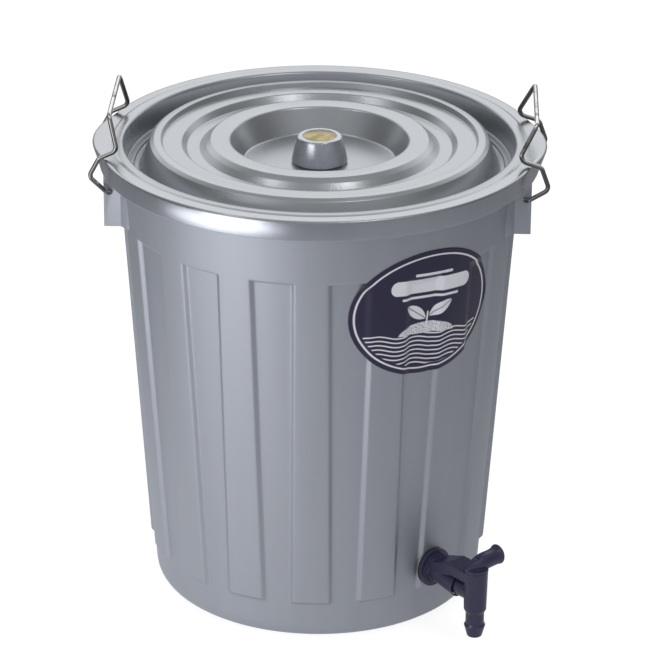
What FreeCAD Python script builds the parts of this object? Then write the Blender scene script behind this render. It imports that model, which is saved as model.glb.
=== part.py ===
import FreeCAD, Part
import math
import os
from FreeCAD import Vector

# Wormery: a tapered round bin with a dished lid, two bent-wire handles, a drain plate on legs and a tap.
# Millimetres. +Z is up, the origin is the middle of the base, and the front faces -Y.
# An azimuth is counted from the front towards +X.

# Bin
rimRadius = 200.0
rimHeight = 433.0
rimThickness = 3.0
rimEdgeRound = 2.5
skirtHeight = 18.5
skirtThickness = 2.8
skirtDraft = 0.6
ribRadiusBottom = 155.0
ribRadiusTop = 183.0
wallThickness = 3.0
baseFillet = 16.0
baseRecessDepth = 2.0
baseRecessRadius = 116.0
floorThickness = 4.0

# Recessed panels between the ribs, which end below the trough of the lid
troughFloorHeight = 410.5
panelCount = 16
panelDepth = 3.4
panelFlank = 3.4
panelBottomHeight = 38.0
panelFootOverlap = 1.0
panelTopDrop = 46.5
panelTopHeight = troughFloorHeight - panelTopDrop
panelWidthBottom = 29.5
panelWidthTop = 41.0

# Handle lugs on the rim, and the bracket boxes under them
lugOverhang = 7.0
lugReach = rimRadius + lugOverhang
lugHalfLength = 54.0
lugDraft = 6.5
bracketSetback = 15.0
bracketReach = lugReach - bracketSetback
bracketHalfLength = 54.5
bracketBottom = 366.0
bracketWall = 2.5
bracketRootReach = 177.0
bracketFlare = 8.0
bracketFlareReach = 170.0

# Wire handles, in the upright plane across the bin: a setback is counted in from the edge of the lug,
# a rise up from the rim. The two are bent a little differently: right under 1, left under -1
wireRadius = 2.1
wireHoleClearance = 0.3
wireBend = 6.0
wirePinSetback = 20.5
wirePinReach = lugReach - wirePinSetback
wirePinHeight = 399.0
wirePinInside = 8.0
wireKneeSetback = {1: -0.3, -1: 2.7}
wireKneeRise = {1: -21.5, -1: -17.0}
wireShoulderSetback = {1: 7.2, -1: 12.0}
wireShoulderRise = {1: -0.6, -1: 0.4}
wireInnerSetback = {1: 27.7, -1: 28.3}
wireInnerRise = {1: 6.0, -1: 8.0}
wireGripSetback = {1: 12.0, -1: 21.0}
wireGripRise = {1: 36.8, -1: 38.3}
wireLegSpan = 120.0
wireGripSpan = 105.0

# Lid
lidThickness = 2.5
lipRadius = 186.6
lipThickness = 1.6
troughRadiusTop = 177.4
troughWallGap = 4.3
troughFloorInner = 169.0
grooveDepth = 3.0
grooveInner = 164.0
beadOuter = 153.0
beadInner = 146.2
beadHeight = 434.6
beadGrooveHeight = 430.6
plateauHeight = 431.8
plateauOuter = 144.0
plateauInner = 125.0
stepHeight = 425.4
stepOuter = 119.3
stepInner = 111.0
ringHeight = 434.2
ringOuter = 102.6
ringInner = 83.5
wellFloorHeight = 411.5
wellFloorRadius = 69.5

# Knob, its cap and its fixing
knobFootRadius = 25.6
knobTopRadius = 20.2
knobHeight = 25.0
knobBevel = 2.0
knobWall = 3.0
knobBossRadius = 9.5
capRadius = 15.2
capFitClearance = 0.05
capDepth = 3.0
capSink = 0.3
capRise = 1.6
boltRadius = 3.0
boltClearance = 0.3
boltHeadRadius = 6.0
boltHeadHeight = 3.6
boltPocketRadius = 7.0
boltPocketDepth = 6.0
boltSlotWidth = 1.4
boltSlotDepth = 1.2
knobNutFlats = 10.0
knobNutHeight = 5.0
knobWasherRadius = 10.0
knobWasherThickness = 1.5
boltTail = 4.0

# Label
labelAzimuth = 35.6
labelHeight = 327.1
labelHalfWidth = 76.0
labelHalfHeight = 60.8
labelTilt = -4.0
labelThickness = 0.4
labelGap = 0.1

# Tap: distances along its axis are counted from the axis of the bin
tapAzimuth = 43.0
tapHeight = 61.5
tapPadFace = 160.5
tapPadRadius = 17.0
tapPadInnerFace = 151.0
tapTailRadius = 10.4
tapHoleClearance = 0.5
tapTailEnd = 134.0
tapBore = 6.0
tapWasherRadius = 17.8
tapInnerWasherRadius = 16.0
tapWasherThickness = 2.5
tapFlangeRadius = 18.2
tapFlangeThickness = 2.0
tapHexFlats = 25.0
tapHexLength = 5.0
housingRadius = 10.9
housingEnd = 197.8
housingWall = 1.0
housingMouthDepth = 6.0
outletHeight = 56.2
outletRadius = 8.6
saddleHalfWidth = 11.4
saddleTopInner = 72.5
saddleUnderInner = 63.0
saddleUnder = 70.0
saddleTopReach = 191.0
barrelReach = 219.0
barrelRadius = 11.15
barrelFootRadius = 10.3
barrelTop = 80.0
barrelFoot = 41.4
shoulderDrop = 3.4
spoutRadius = 8.5
spoutBore = 5.5
barbHeight = 25.0
barbRise = 2.5
barbRadius = 9.8
tipHeight = 14.0
tipRadius = 6.8
threadClearance = 0.05
backNutFlats = 30.0
backNutLength = 6.0

# Tap plug, lever and their small parts
plugRadius = 8.2
plugClearance = 0.1
plugBottom = 46.0
plugShoulder = 77.0
seatGap = 1.0
plugNeckRadius = 5.6
plugNeckRise = 4.0
plugPort = 4.6
sealSection = 0.9
sealGap = 0.06
sealHeights = (49.5, 70.5)
clipThickness = 1.0
clipDepth = 0.9
clipPlay = 0.1
clipNeckGap = 0.5
clipGap = 5.0
leverHubRadius = 11.4
leverGap = 0.3
leverHubHeight = 2.4
leverUnderRadius = 14.3
leverBarRadius = 6.5
leverBarHeight = 86.1
leverHeelRadius = 1.8
leverHeel = 12.5
leverHeelDrop = 2.5
leverEndRadius = 9.4
leverLength = 28.0
leverRise = 1.7
leverEndRound = 1.5
screwRadius = 1.7
screwHeadRadius = 3.2
screwHeadHeight = 2.0
screwDepth = 11.0
screwTipGap = 1.0
screwSink = 0.4

# Drain plate, its legs and the net on it
plateTop = 88.0
plateThickness = 3.0
plateClearance = 1.6
plateHoleRadius = 3.0
plateHoleRings = (22.0, 44.0, 66.0, 88.0, 128.0)
plateHolePitch = 21.0
legCount = 5
legRadius = 11.0
legWall = 2.5
legCircle = 107.0
legFirstAzimuth = 7.0
legFit = 0.2
socketHeight = 8.0
socketWall = 2.5
netThickness = 1.0
netMargin = 2.0

skirtBottom = rimHeight - skirtHeight
wallSlope = (ribRadiusTop - ribRadiusBottom) / skirtBottom
floorTop = baseRecessDepth + floorThickness
panelPitch = 360.0 / panelCount
zAxis = Vector(0, 0, 1)
origin = Vector(0, 0, 0)


def rib_radius(height):
    return ribRadiusBottom + wallSlope * height


def save(name, shape):
    shape.exportStep("parts/" + name + ".step")
    print(name, "solids", len(shape.Solids), "valid", shape.isValid(), "cm3", round(shape.Volume / 1000, 2))


def corner_wire(corners):
    """Closed wire in the XZ plane through (radius, height, rounding) corners, arcs at the rounded ones."""
    points = [Vector(r, 0, z) for r, z, rounding in corners]
    edges = []
    joints = []
    for i, (r, z, rounding) in enumerate(corners):
        here = points[i]
        if rounding <= 0:
            joints.append((here, here, None))
            continue
        before = (points[i - 1] - here).normalize()
        after = (points[(i + 1) % len(points)] - here).normalize()
        half = before.getAngle(after) / 2
        reach = rounding / math.tan(half)
        inward = (before + after).normalize()
        middle = here + inward * (rounding / math.sin(half) - rounding)
        joints.append((here + before * reach, here + after * reach, middle))
    for i, (start, end, middle) in enumerate(joints):
        if middle is not None:
            edges.append(Part.Arc(start, middle, end).toShape())
        following = joints[(i + 1) % len(joints)][0]
        if (following - end).Length > 1e-6:
            edges.append(Part.LineSegment(end, following).toShape())
    return Part.Wire(edges)


def revolve(corners):
    full = [c if len(c) == 3 else (c[0], c[1], 0) for c in corners]
    return Part.Face(corner_wire(full)).revolve(origin, zAxis, 360)


def offset_line(points, distance):
    """Points moved square to the line, mitred at the corners; an inward line moves down."""
    moved = []
    for i, here in enumerate(points):
        normals = []
        for a, b in ((i - 1, i), (i, i + 1)):
            if a < 0 or b >= len(points):
                continue
            dx = points[b][0] - points[a][0]
            dz = points[b][1] - points[a][1]
            length = math.hypot(dx, dz)
            normals.append((-dz / length, dx / length))
        nx = sum(n[0] for n in normals)
        nz = sum(n[1] for n in normals)
        scale = distance * 2 / (nx * nx + nz * nz) if len(normals) == 2 else distance
        moved.append((here[0] + nx * scale, here[1] + nz * scale))
    return moved


def across(reach, along, height, side=1):
    """Point on the side handle: distance from the axis, distance along the handle, height."""
    return Vector(side * reach, along, height)


def hexagon(flats, length, base):
    corner = flats / math.sqrt(3)
    points = [Vector(corner * math.cos(math.radians(60 * i)), corner * math.sin(math.radians(60 * i)), base)
              for i in range(7)]
    return Part.Face(Part.makePolygon(points)).extrude(zAxis * length)


def ring(outer, inner, base, height):
    return Part.makeCylinder(outer, height, Vector(0, 0, base)).cut(
        Part.makeCylinder(inner, height, Vector(0, 0, base)))


# Bin

def panel_wedge(index, inset):
    """Cutter of one panel: flanks lean outward, and the panel floor is left to the inner cone."""
    shift = inset * (math.hypot(panelDepth, panelFlank) - panelFlank) / panelDepth
    bottom = panelBottomHeight + inset - panelFootOverlap
    top = panelTopHeight + inset
    wires = []
    for height, width in ((bottom, panelWidthBottom), (top, panelWidthTop)):
        surface = rib_radius(height) - inset
        half = width / 2 + shift
        deep = 2 * panelDepth
        outside = panelDepth
        lean = panelFlank / panelDepth
        section = ((surface - deep, half - deep * lean), (surface + outside, half + outside * lean))
        corners = [Vector(y, -x, height) for x, y in section]
        corners += [Vector(-v.x, v.y, v.z) for v in reversed(corners)]
        wires.append(Part.makePolygon(corners + corners[:1]))
    wedge = Part.makeLoft(wires, True, True)
    wedge.rotate(origin, zAxis, (index + 0.5) * panelPitch)
    return wedge


def fluted_body(inset, bottom, top, panels):
    """Solid inside the wall surface moved in by inset; with no inset it is the outside of the bin."""
    depth = panelDepth + inset
    fillet = baseFillet - inset
    plain = revolve(((0, bottom), (rib_radius(bottom) - depth, bottom, fillet),
                     (rib_radius(top) - depth, top), (0, top)))
    ribBottom = panelBottomHeight + inset
    ribs = Part.makeCone(rib_radius(ribBottom) - inset, rib_radius(top) - inset, top - ribBottom,
                         Vector(0, 0, ribBottom))
    ribs = ribs.cut([panel_wedge(i, inset) for i in panels])
    return plain.fuse(ribs)


def rim_block(inset):
    """Rim ring and the two lens-shaped lugs as one block, moved in by the skirt thickness when inset."""
    thin = skirtThickness if inset else 0
    top = rimHeight - (rimThickness if inset else 0)
    rounding = 0 if inset else rimEdgeRound
    block = revolve(((0, skirtBottom), (rimRadius - skirtDraft - thin, skirtBottom),
                     (rimRadius - thin, top, rounding), (0, top)))
    rise = lugReach - math.sqrt(rimRadius ** 2 - lugHalfLength ** 2)
    lugRadius = (lugHalfLength ** 2 + rise ** 2) / (2 * rise)
    for side in (1, -1):
        lug = revolve(((0, skirtBottom), (lugRadius - lugDraft - thin, skirtBottom),
                       (lugRadius - thin, top, rounding), (0, top)))
        lug.translate(Vector(side * (lugReach - lugRadius), 0, 0))
        block = block.fuse(lug)
    return block


def bracket(side):
    """Box under a lug, open below, with a hole for the wire in each end and a slanted root on the wall."""
    inner = bracketFlareReach - 2 * wallThickness
    ceiling = rimHeight - rimThickness
    flareEnd = bracketHalfLength + bracketFlare
    outline = [(inner, flareEnd), (bracketFlareReach, flareEnd),
               (bracketRootReach, bracketHalfLength), (bracketReach, bracketHalfLength)]
    corners = [Vector(x, y, bracketBottom) for x, y in outline]
    corners += [Vector(v.x, -v.y, v.z) for v in reversed(corners)]
    box = Part.Face(Part.makePolygon(corners + corners[:1])).extrude(zAxis * (ceiling - bracketBottom))
    halfPocket = bracketHalfLength - bracketWall
    pocket = Part.makeBox(bracketReach - bracketWall - inner, 2 * halfPocket, ceiling - bracketBottom,
                          Vector(inner, -halfPocket, bracketBottom))
    hole = Part.makeCylinder(wireRadius + wireHoleClearance, 3 * bracketHalfLength,
                             Vector(wirePinReach, -1.5 * bracketHalfLength, wirePinHeight), Vector(0, 1, 0))
    shape = box.cut([pocket, hole])
    if side < 0:
        shape.rotate(origin, zAxis, 180)
    return shape


def bin_tub():
    outside = fluted_body(0, 0, rimHeight, range(panelCount))
    inside = fluted_body(wallThickness, floorTop, rimHeight + wallThickness, range(panelCount))
    pieces = [rim_block(False).cut(rim_block(True)), bracket(1), bracket(-1)]
    recess = Part.makeCylinder(baseRecessRadius, baseRecessDepth)
    pad = at_tap(along(tapPadRadius, tapPadInnerFace, tapPadFace, tapHeight))
    holeEnd = tapPadFace + tapTailRadius
    hole = at_tap(along(tapTailRadius + tapHoleClearance, tapTailEnd, holeEnd, tapHeight))
    shape = outside.fuse(pieces).cut([inside, recess])
    return shape.fuse(pad).cut(hole).removeSplitter()


def label():
    """Oval sticker that follows the ribs and panels it lies on."""
    panels = [math.floor(labelAzimuth / panelPitch) + step for step in (-1, 0, 1)]
    low = labelHeight - 1.2 * labelHalfHeight
    high = labelHeight + 1.2 * labelHalfHeight
    outside = fluted_body(-labelGap - labelThickness, 0, rimHeight, panels)
    skin = outside.cut(fluted_body(-labelGap, 0, rimHeight, panels))
    oval = Part.Ellipse(origin, labelHalfWidth, labelHalfHeight).toShape()
    prism = Part.Face(Part.Wire([oval])).extrude(zAxis * rimRadius)
    prism.rotate(origin, zAxis, labelTilt)
    prism.rotate(origin, Vector(1, 0, 0), 90)
    prism.translate(Vector(0, 0, labelHeight))
    prism.rotate(origin, zAxis, labelAzimuth)
    slab = ring(rimRadius, baseRecessRadius, low, high - low)
    return skin.common(prism).common(slab)


# Handles

def wire_path(points, bend):
    """Open wire through the points, with a tangent arc of the bend radius at each inner one."""
    edges = []
    start = points[0]
    for i in range(1, len(points) - 1):
        here = points[i]
        before = (points[i - 1] - here).normalize()
        after = (points[i + 1] - here).normalize()
        half = before.getAngle(after) / 2
        reach = bend / math.tan(half)
        arcStart = here + before * reach
        arcEnd = here + after * reach
        middle = here + (before + after).normalize() * (bend / math.sin(half) - bend)
        edges.append(Part.LineSegment(start, arcStart).toShape())
        edges.append(Part.Arc(arcStart, middle, arcEnd).toShape())
        start = arcEnd
    edges.append(Part.LineSegment(start, points[-1]).toShape())
    return Part.Wire(edges)


def tube(points, radius, bend):
    path = wire_path(points, bend)
    first = (points[1] - points[0]).normalize()
    section = Part.Wire([Part.Circle(points[0], first, radius).toShape()])
    return path.makePipeShell([section], True, False)


def handle(side):
    leg = wireLegSpan / 2
    grip = wireGripSpan / 2
    pinEnd = bracketHalfLength - wirePinInside
    half = [across(wirePinReach, pinEnd, wirePinHeight, side),
            across(wirePinReach, leg, wirePinHeight, side),
            across(lugReach - wireKneeSetback[side], leg, rimHeight + wireKneeRise[side], side),
            across(lugReach - wireShoulderSetback[side], leg, rimHeight + wireShoulderRise[side], side),
            across(lugReach - wireInnerSetback[side], leg, rimHeight + wireInnerRise[side], side),
            across(lugReach - wireGripSetback[side], grip, rimHeight + wireGripRise[side], side)]
    mirrored = [Vector(v.x, -v.y, v.z) for v in reversed(half)]
    return tube(half + mirrored, wireRadius, wireBend)


# Lid

def lid():
    troughOuter = rib_radius(troughFloorHeight) - wallThickness - troughWallGap
    top = [(troughRadiusTop, rimHeight + lipThickness), (troughOuter, troughFloorHeight),
           (troughFloorInner, troughFloorHeight), (troughFloorInner - 1, troughFloorHeight - grooveDepth),
           (grooveInner, troughFloorHeight - grooveDepth), (beadOuter, beadHeight), (beadInner, beadHeight),
           (beadInner - 1, beadGrooveHeight), (plateauOuter, plateauHeight), (plateauInner, plateauHeight),
           (stepOuter, stepHeight), (stepInner, stepHeight), (ringOuter, ringHeight),
           (ringInner, ringHeight), (wellFloorRadius, wellFloorHeight), (0, wellFloorHeight)]
    under = offset_line(top, lidThickness)
    rounding = [1.2, 1.0, 0.5, 0.5, 0.8, 2.0, 2.0, 0, 0.8, 1.5, 1.5, 1.5, 2.0, 2.5, 1.5, 0]
    rounding = [min(value, lidThickness) for value in rounding]
    upper = [(r, z, rounding[i]) for i, (r, z) in enumerate(top)]
    lower = [(r, z, 0) for r, z in under[1:]]
    outerWall = under[0][0]
    lip = [(outerWall, rimHeight, 0), (lipRadius, rimHeight, 0),
           (lipRadius, rimHeight + lipThickness, 0.4 * lipThickness)]
    shape = revolve(upper + lower[::-1] + lip)
    hole = Part.makeCylinder(boltRadius + boltClearance, 3 * lidThickness,
                             Vector(0, 0, wellFloorHeight - 2 * lidThickness))
    return shape.cut(hole)


def lid_knob():
    base = wellFloorHeight
    top = base + knobHeight
    seat = top - capDepth
    pocketFloor = seat - boltPocketDepth
    shell = revolve(((boltRadius + boltClearance, base), (knobFootRadius - knobBevel, base),
                     (knobFootRadius, base + knobBevel, 0.8), (knobTopRadius, top, 2.2),
                     (capRadius + capFitClearance, top, 0.6), (capRadius + capFitClearance, seat),
                     (boltPocketRadius, seat), (boltPocketRadius, pocketFloor),
                     (boltRadius + boltClearance, pocketFloor)))
    hollowTop = pocketFloor - knobWall
    hollow = revolve(((knobBossRadius, base), (knobFootRadius - knobWall - knobBevel, base),
                      (knobTopRadius - knobWall, hollowTop), (knobBossRadius, hollowTop)))
    return shell.cut(hollow)


def knob_cap():
    seat = wellFloorHeight + knobHeight - capDepth
    edge = seat + capDepth - capSink
    crown = edge + capRise
    domeRadius = (capRadius ** 2 + capRise ** 2) / (2 * capRise)
    halfway = domeRadius * math.sin(0.5 * math.asin(capRadius / domeRadius))
    halfwayHeight = crown - domeRadius + math.sqrt(domeRadius ** 2 - halfway ** 2)
    arc = Part.Arc(Vector(0, 0, crown), Vector(halfway, 0, halfwayHeight), Vector(capRadius, 0, edge))
    side = Part.LineSegment(Vector(capRadius, 0, edge), Vector(capRadius, 0, seat)).toShape()
    floor = Part.LineSegment(Vector(capRadius, 0, seat), Vector(0, 0, seat)).toShape()
    middle = Part.LineSegment(Vector(0, 0, seat), Vector(0, 0, crown)).toShape()
    return Part.Face(Part.Wire([arc.toShape(), side, floor, middle])).revolve(origin, zAxis, 360)


def knob_fixing():
    """Bolt down through the knob and the lid, with a washer and a nut under the well."""
    pocketFloor = wellFloorHeight + knobHeight - capDepth - boltPocketDepth
    underLid = wellFloorHeight - lidThickness
    washerBase = underLid - knobWasherThickness
    nutBase = washerBase - knobNutHeight
    bolt = Part.makeCylinder(boltRadius, pocketFloor - nutBase + boltTail, Vector(0, 0, nutBase - boltTail))
    bolt = bolt.fuse(Part.makeCylinder(boltHeadRadius, boltHeadHeight, Vector(0, 0, pocketFloor)))
    slotBottom = pocketFloor + boltHeadHeight - boltSlotDepth
    slot = Part.makeBox(2 * boltHeadRadius, boltSlotWidth, boltSlotDepth,
                        Vector(-boltHeadRadius, -boltSlotWidth / 2, slotBottom))
    bore = Part.makeCylinder(boltRadius + threadClearance, knobNutHeight, Vector(0, 0, nutBase))
    washer = ring(knobWasherRadius, boltRadius + boltClearance, washerBase, knobWasherThickness)
    nut = hexagon(knobNutFlats, knobNutHeight, nutBase).cut(bore)
    return bolt.cut(slot), washer, nut


# Tap

def at_tap(shape, height=0):
    """Turns a shape built along +X to the azimuth of the tap."""
    placed = shape.copy()
    placed.translate(Vector(0, 0, height))
    placed.rotate(origin, zAxis, tapAzimuth - 90)
    return placed


def along(radius, start, end, height=0):
    return Part.makeCylinder(radius, end - start, Vector(start, 0, height), Vector(1, 0, 0))


def lofted_pipe(radius, start, startHeight, end, endHeight):
    wires = [Part.Wire([Part.Circle(Vector(x, 0, z), Vector(1, 0, 0), radius).toShape()])
             for x, z in ((start, startHeight), (end, endHeight))]
    return Part.makeLoft(wires, True, True)


def tap_body():
    flangeStart = tapPadFace + tapWasherThickness
    hexStart = flangeStart + tapFlangeThickness
    hexEnd = hexStart + tapHexLength
    tail = along(tapTailRadius, tapTailEnd, hexStart, tapHeight)
    flange = along(tapFlangeRadius, flangeStart, hexStart, tapHeight)
    nut = hexagon(tapHexFlats, tapHexLength, 0)
    nut.rotate(origin, Vector(0, 1, 0), 90)
    nut.rotate(origin, Vector(1, 0, 0), 90)
    nut.translate(Vector(hexStart, 0, tapHeight))
    housing = lofted_pipe(housingRadius, hexEnd, tapHeight, housingEnd, outletHeight)
    profile = ((hexEnd, tapHeight), (hexEnd, saddleTopInner), (saddleTopReach, barrelTop),
               (barrelReach, barrelTop), (barrelReach, saddleUnder), (housingEnd, saddleUnder),
               (hexEnd + tapHexLength, saddleUnderInner), (hexEnd, tapHeight))
    saddle = Part.makePolygon([Vector(x, -saddleHalfWidth, z) for x, z in profile])
    saddle = Part.Face(saddle).extrude(Vector(0, 2 * saddleHalfWidth, 0))
    mouthStart = housingEnd - housingMouthDepth
    outlet = along(outletRadius, mouthStart, barrelReach, outletHeight)
    mouth = along(housingRadius - housingWall, mouthStart, housingEnd, outletHeight).cut(outlet)
    barrel = revolve(((0, tipHeight), (tipRadius, tipHeight, 0.8), (barbRadius, barbHeight),
                      (spoutRadius, barbHeight + barbRise), (spoutRadius, barrelFoot - shoulderDrop),
                      (barrelFootRadius, barrelFoot), (barrelRadius, barrelTop), (0, barrelTop)))
    barrel.translate(Vector(barrelReach, 0, 0))
    solid = saddle.fuse(housing).cut(mouth).fuse([tail, flange, nut, outlet, barrel])
    bore = along(tapBore, tapTailEnd, hexEnd, tapHeight)
    slope = lofted_pipe(tapBore, hexEnd, tapHeight, housingEnd, outletHeight)
    port = along(tapBore, housingEnd, barrelReach, outletHeight)
    seatRadius = plugRadius + plugClearance
    seatBottom = plugBottom - seatGap
    seat = Part.makeCylinder(seatRadius, barrelTop - seatBottom, Vector(barrelReach, 0, seatBottom))
    spout = Part.makeCylinder(spoutBore, plugBottom, Vector(barrelReach, 0, 0))
    groove = Part.makeCylinder(seatRadius + clipDepth, clipThickness + clipPlay,
                               Vector(barrelReach, 0, plugShoulder + clipPlay))
    return at_tap(solid.cut([bore, slope, port, seat, spout, groove]).removeSplitter())


def tap_clamp():
    """Rubber washers on both sides of the wall, and the nut that pulls the tap against it."""
    hole = along(tapTailRadius + threadClearance, 0, rimRadius, tapHeight)
    outer = along(tapWasherRadius, tapPadFace, tapPadFace + tapWasherThickness, tapHeight).cut(hole)
    innerStart = tapPadInnerFace - tapWasherThickness
    inner = along(tapInnerWasherRadius, innerStart, tapPadInnerFace, tapHeight).cut(hole)
    nut = hexagon(backNutFlats, backNutLength, 0)
    nut.rotate(origin, Vector(0, 1, 0), 90)
    nut.translate(Vector(innerStart - backNutLength, 0, tapHeight))
    return at_tap(outer), at_tap(inner), at_tap(nut.cut(hole))


def tap_plug():
    """Closed at rest: its side port looks a quarter turn away from the inlet."""
    body = Part.makeCylinder(plugRadius, plugShoulder - plugBottom, Vector(0, 0, plugBottom))
    neckTop = barrelTop + plugNeckRise
    neck = Part.makeCylinder(plugNeckRadius, neckTop - plugShoulder, Vector(0, 0, plugShoulder))
    side = Part.makeCylinder(plugPort, 2 * plugRadius, Vector(0, 0, outletHeight), Vector(0, -1, 0))
    down = Part.makeCylinder(plugPort, outletHeight - plugBottom, Vector(0, 0, plugBottom))
    grooveRadius = plugRadius + plugClearance - sealGap - 2 * sealSection
    grooves = [ring(barrelRadius, grooveRadius, z - sealSection, 2 * sealSection) for z in sealHeights]
    pilot = Part.makeCylinder(screwRadius + threadClearance, screwDepth, Vector(0, 0, neckTop - screwDepth))
    shape = body.fuse(neck).cut([side, down, pilot] + grooves)
    shape.translate(Vector(barrelReach, 0, 0))
    return at_tap(shape)


def plug_seals():
    middle = plugRadius + plugClearance - sealGap - sealSection
    rings = [Part.makeTorus(middle, sealSection, Vector(barrelReach, 0, z)) for z in sealHeights]
    return at_tap(Part.makeCompound(rings))


def plug_clip():
    outer = plugRadius + plugClearance + clipDepth - clipPlay
    base = plugShoulder + 1.5 * clipPlay
    clip = ring(outer, plugNeckRadius + clipNeckGap, base, clipThickness)
    gap = Part.makeBox(outer, clipGap, clipThickness, Vector(0, -clipGap / 2, base))
    clip = clip.cut(gap)
    clip.translate(Vector(barrelReach, 0, 0))
    return at_tap(clip)


def tap_lever():
    """Hub on the barrel and a horn-shaped thumb bar, pointed at its heel and blunt at its wide end."""
    hubBase = barrelTop + leverGap
    hub = Part.makeCylinder(leverHubRadius, leverHubHeight, Vector(0, 0, hubBase))
    middleRadius = (leverBarRadius + leverEndRadius) / 2
    endHeight = leverBarHeight + leverRise
    sections = ((-leverHeel, leverBarHeight - leverHeelDrop, leverHeelRadius),
                (-leverHeel / 2, leverBarHeight - leverHeelDrop / 3, (leverHeelRadius + leverBarRadius) / 2),
                (0, leverBarHeight, leverBarRadius),
                (leverLength / 2, leverBarHeight + leverRise / 4, middleRadius),
                (leverLength - leverEndRound, endHeight, leverEndRadius))
    rings = [Part.Wire([Part.Circle(Vector(0, y, z), Vector(0, 1, 0), radius).toShape()])
             for y, z, radius in sections]
    bar = Part.makeLoft(rings, True, False)
    blunt = Part.makeCone(leverEndRadius, leverEndRadius - leverEndRound, leverEndRound,
                          Vector(0, leverLength - leverEndRound, endHeight), Vector(0, 1, 0))
    under = Part.makeCylinder(leverUnderRadius, hubBase)
    neckTop = barrelTop + plugNeckRise
    barTop = leverBarHeight + leverBarRadius
    socket = Part.makeCylinder(plugNeckRadius + threadClearance, neckTop - hubBase, Vector(0, 0, hubBase))
    screwHole = Part.makeCylinder(screwRadius + threadClearance, barTop - hubBase, Vector(0, 0, hubBase))
    headSeat = barTop - screwHeadHeight
    head = Part.makeCylinder(screwHeadRadius + threadClearance, screwHeadHeight, Vector(0, 0, headSeat))
    shape = bar.fuse([blunt, hub]).cut([under, socket, screwHole, head])
    shape.translate(Vector(barrelReach, 0, 0))
    return at_tap(shape.removeSplitter())


def lever_screw():
    barTop = leverBarHeight + leverBarRadius
    headSeat = barTop - screwHeadHeight
    tip = barrelTop + plugNeckRise - screwDepth + screwTipGap
    shank = Part.makeCylinder(screwRadius, headSeat - tip, Vector(0, 0, tip))
    head = Part.makeCylinder(screwHeadRadius, screwHeadHeight - screwSink, Vector(0, 0, headSeat))
    shape = shank.fuse(head)
    shape.translate(Vector(barrelReach, 0, 0))
    return at_tap(shape)


# Drain plate

def leg_points(height):
    return [Vector(legCircle * math.sin(math.radians(legFirstAzimuth + i * 360 / legCount)),
                   -legCircle * math.cos(math.radians(legFirstAzimuth + i * 360 / legCount)), height)
            for i in range(legCount)]


def plate_radius():
    return rib_radius(plateTop - plateThickness) - panelDepth - wallThickness - plateClearance


def drain_plate():
    radius = plate_radius()
    under = plateTop - plateThickness
    plate = Part.makeCylinder(radius, plateThickness, Vector(0, 0, under))
    sockets = []
    holes = []
    for point in leg_points(under - socketHeight):
        socket = Part.makeCylinder(legRadius + legFit + socketWall, socketHeight, point)
        sockets.append(socket.cut(Part.makeCylinder(legRadius + legFit, socketHeight, point)))
    for ringRadius in plateHoleRings:
        count = round(2 * math.pi * ringRadius / plateHolePitch)
        for i in range(count):
            angle = 2 * math.pi * i / count
            place = Vector(ringRadius * math.cos(angle), ringRadius * math.sin(angle), under)
            holes.append(Part.makeCylinder(plateHoleRadius, plateThickness, place))
    return plate.cut(holes).fuse(sockets)


def platform_legs():
    under = plateTop - plateThickness
    legs = []
    for point in leg_points(floorTop):
        leg = Part.makeCylinder(legRadius, under - floorTop, point)
        legs.append(leg.cut(Part.makeCylinder(legRadius - legWall, under - floorTop, point)))
    return Part.makeCompound(legs)


def filter_net():
    return Part.makeCylinder(plate_radius() - netMargin, netThickness, Vector(0, 0, plateTop))


os.makedirs("parts", exist_ok=True)
bolt, knobWasher, knobNut = knob_fixing()
outerWasher, innerWasher, backNut = tap_clamp()
pieces = {
    "bin_tub": bin_tub(),
    "label": label(),
    "handle_right": handle(1),
    "handle_left": handle(-1),
    "lid": lid(),
    "lid_knob": lid_knob(),
    "knob_cap": knob_cap(),
    "knob_bolt": bolt,
    "knob_washer": knobWasher,
    "knob_nut": knobNut,
    "tap_body": tap_body(),
    "tap_outer_washer": outerWasher,
    "tap_inner_washer": innerWasher,
    "tap_back_nut": backNut,
    "tap_plug": tap_plug(),
    "plug_seals": plug_seals(),
    "plug_clip": plug_clip(),
    "tap_lever": tap_lever(),
    "lever_screw": lever_screw(),
    "drain_plate": drain_plate(),
    "plate_legs": platform_legs(),
    "filter_net": filter_net(),
}
for name, shape in pieces.items():
    save(name, shape)
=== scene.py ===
import math

import bmesh
import bpy
from mathutils import Matrix, Vector


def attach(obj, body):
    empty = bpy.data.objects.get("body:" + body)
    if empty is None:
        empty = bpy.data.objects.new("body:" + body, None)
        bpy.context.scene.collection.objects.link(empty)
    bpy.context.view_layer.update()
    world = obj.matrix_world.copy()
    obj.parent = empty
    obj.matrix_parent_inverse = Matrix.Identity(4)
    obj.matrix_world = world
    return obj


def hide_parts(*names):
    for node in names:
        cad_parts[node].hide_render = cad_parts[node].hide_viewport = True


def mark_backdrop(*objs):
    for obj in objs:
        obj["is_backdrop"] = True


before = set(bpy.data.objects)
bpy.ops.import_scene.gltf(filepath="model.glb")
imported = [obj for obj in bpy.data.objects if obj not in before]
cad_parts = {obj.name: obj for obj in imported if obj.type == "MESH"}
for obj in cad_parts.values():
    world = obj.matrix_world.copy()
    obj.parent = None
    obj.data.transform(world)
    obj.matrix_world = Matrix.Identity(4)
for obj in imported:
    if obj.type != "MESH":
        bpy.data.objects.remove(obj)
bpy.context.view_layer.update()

mm = 0.001
weldGap = 0.004  # points closer than this become one


# Shader building

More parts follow.
